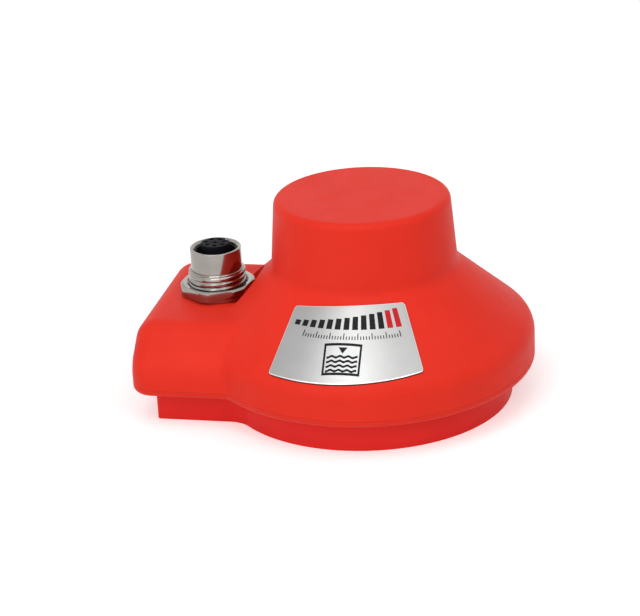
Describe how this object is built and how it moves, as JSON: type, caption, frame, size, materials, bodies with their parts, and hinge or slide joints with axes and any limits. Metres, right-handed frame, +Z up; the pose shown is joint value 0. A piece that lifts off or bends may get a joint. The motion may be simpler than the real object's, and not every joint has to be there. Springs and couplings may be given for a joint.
{
  "type": "tank level sensor",
  "caption": "Radar level sensor in a moulded housing that sits on top of a tank, with a side arm that carries a round plug receptacle.",
  "frame": {"origin": "centre of the round body, on the face that lies on the tank", "axes": "+Z up, away from the tank; -X towards the side arm with the plug receptacle; the label faces -Y"},
  "size_m": [0.1071, 0.0928, 0.058],
  "materials": {
    "cover_red": "moulded, satin",
    "base_red": "moulded, satin",
    "seal_rubber": "matt",
    "screw_steel": "zinc plated",
    "pad_foam": "matt foam",
    "label_silver": null,
    "nickel": "nickel plated, satin",
    "insert_black": "moulded, matt",
    "contact_gold": "gold plated",
    "wire_skin": "smooth",
    "plug_white": "moulded",
    "board_green": "solder mask",
    "capacitor_can": "bright can",
    "chip_black": "moulded",
    "coil_ferrite": "matt",
    "horn_metal": "die cast",
    "lens_white": "smooth",
    "shield_tin": "tinned",
    "flex_amber": "film"
  },
  "bodies": {
    "root": {"upper_housing": "cover_red", "base_housing": "base_red", "housing_gasket": "seal_rubber", "base_screws": "screw_steel", "adhesive_pad": "pad_foam", "label_plate": "label_silver", "connector_shell": "nickel", "connector_washer": "nickel", "connector_nut": "nickel", "connector_seal": "seal_rubber", "connector_insert": "insert_black", "connector_contacts": "contact_gold", "lead_wires": "wire_skin", "lead_plug": "plug_white", "board_header": "plug_white", "header_pins": "contact_gold", "main_board": "board_green", "board_screws": "screw_steel", "board_capacitor": "capacitor_can", "board_chips": "chip_black", "power_coil": "coil_ferrite", "radar_horn": "horn_metal", "horn_lens": "lens_white", "horn_screws": "screw_steel", "radar_board": "board_green", "radar_shield": "shield_tin", "radar_chip": "chip_black", "radar_screws": "screw_steel", "flex_lead": "flex_amber", "flex_sockets": "plug_white"}
  },
  "joints": []
}
